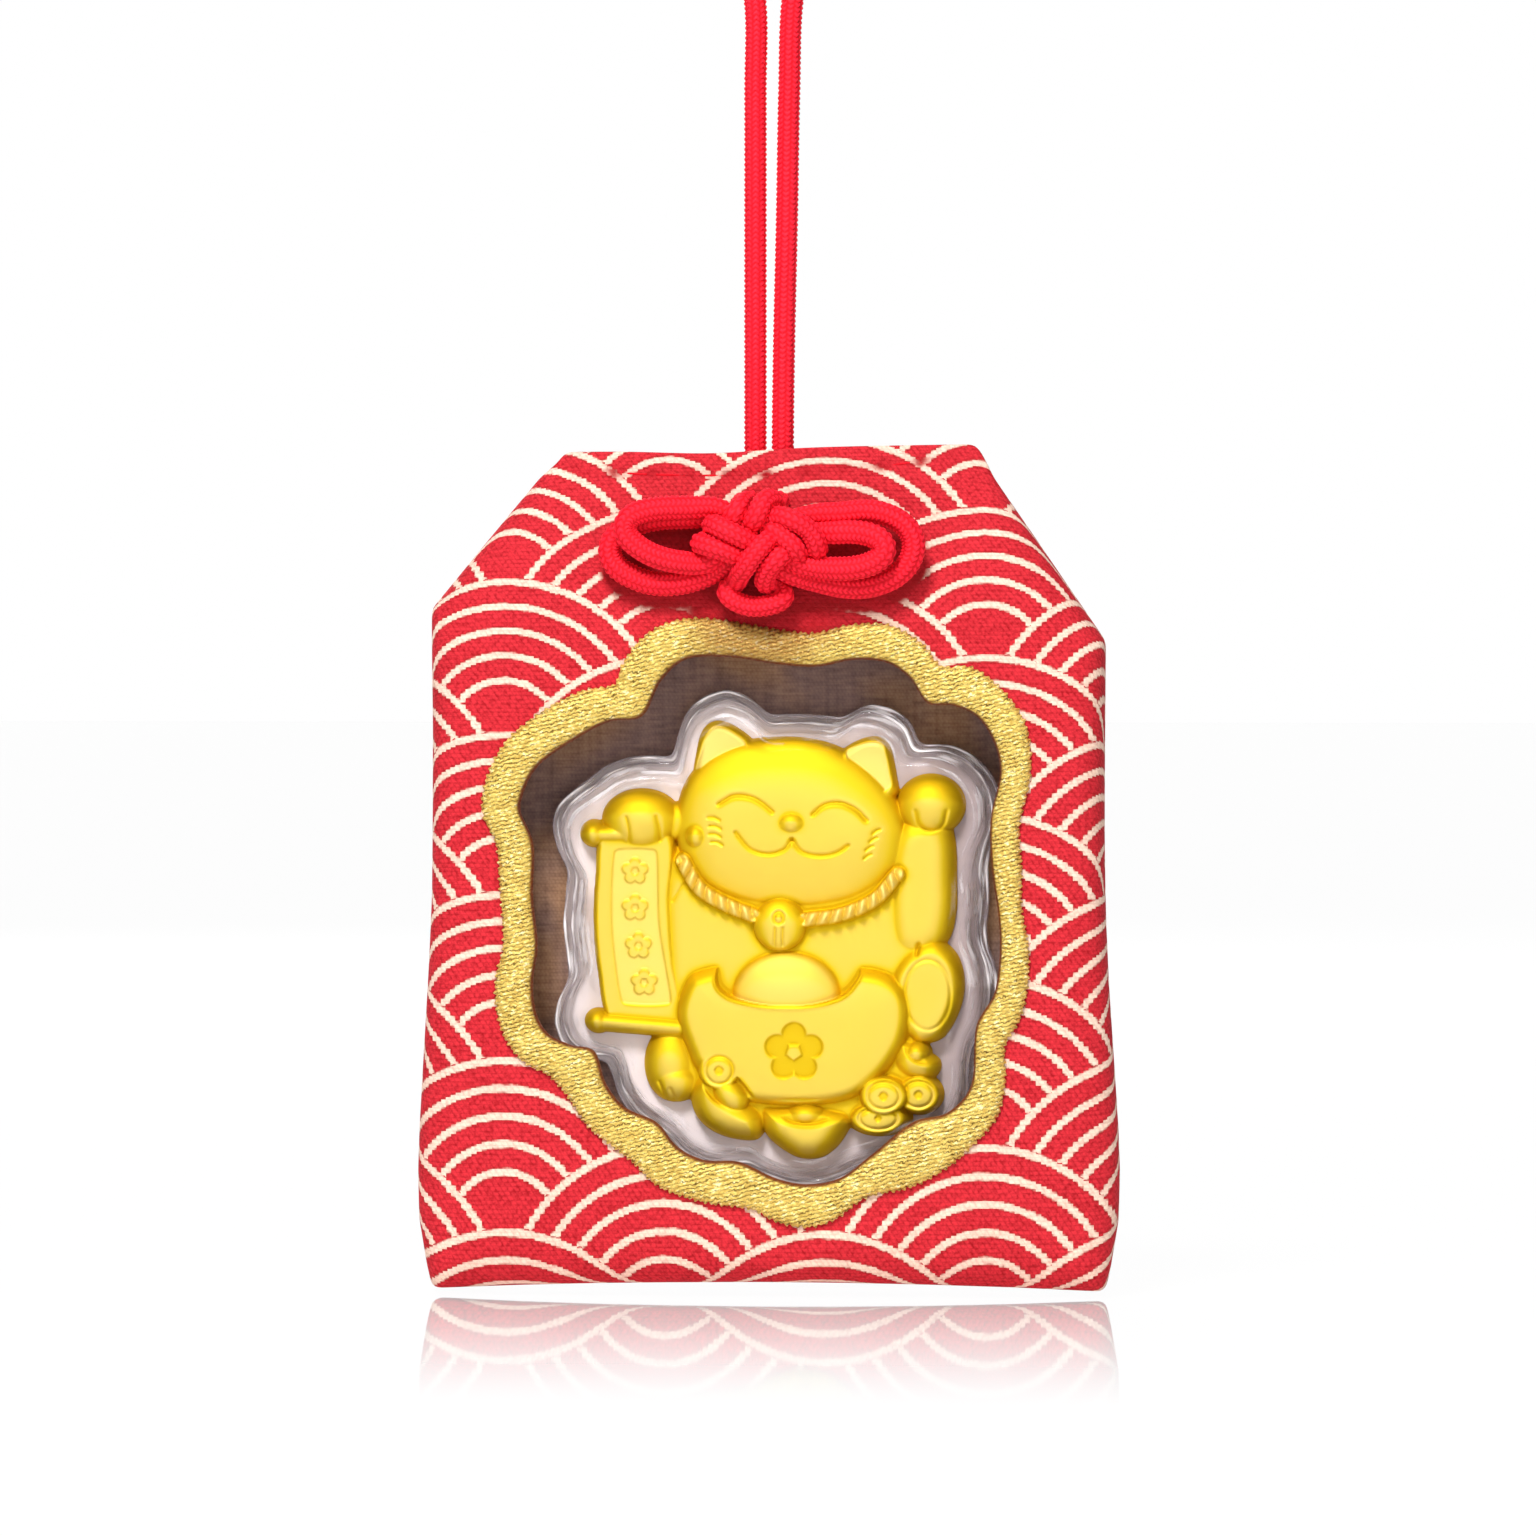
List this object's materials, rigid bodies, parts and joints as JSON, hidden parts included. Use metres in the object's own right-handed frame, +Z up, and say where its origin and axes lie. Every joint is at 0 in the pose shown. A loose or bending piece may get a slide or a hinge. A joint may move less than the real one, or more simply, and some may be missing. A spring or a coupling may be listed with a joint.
{
  "type": "charm pouch amulet",
  "caption": "Cloth charm pouch on a braided hanging loop, with a decorative cord knot and an embroidered window that shows an embossed gold lucky cat in a clear capsule.",
  "frame": {"origin": "hang point, on the inside of the top of the cord loop, where a hook or strap carries it", "axes": "+Z up along the hanging cord, -Y out of the pouch's front, +X to the right seen from the front"},
  "size_m": [0.0614, 0.0148, 0.1274],
  "materials": {
    "brocade": "red woven cloth with cream wave arcs",
    "gold_thread": "metallic gold thread, satin stitched",
    "lining": "dark brown woven lining",
    "card": "plain white card",
    "cord": "fine braided red cord",
    "clear_plastic": "clear moulded plastic",
    "pale_plastic": "frosted pale plastic",
    "gold": "satin embossed gold foil"
  },
  "bodies": {
    "loop": {"hang_loop": "cord"},
    "pouch": {"front_panel": "brocade", "back_panel": "brocade", "window_border": "gold_thread", "front_lining": "lining", "pocket_gusset": "lining", "back_lining": "lining", "stiffener_card": "card", "knot_cord": "cord"},
    "capsule": {"capsule_front_shell": "clear_plastic", "capsule_rear_plate": "pale_plastic", "gold_cat": "gold"}
  },
  "joints": [
    {"name": "pouch_swing", "type": "hinge", "parent": "loop", "child": "pouch", "pos_m": [0, 0, -0.0506], "axis": [1, 0, 0], "range_deg": [-90, 90]},
    {"name": "capsule_shift", "type": "slide", "parent": "pouch", "child": "capsule", "axis": [0, 0, 1], "range_m": [0, 0.003]}
  ]
}
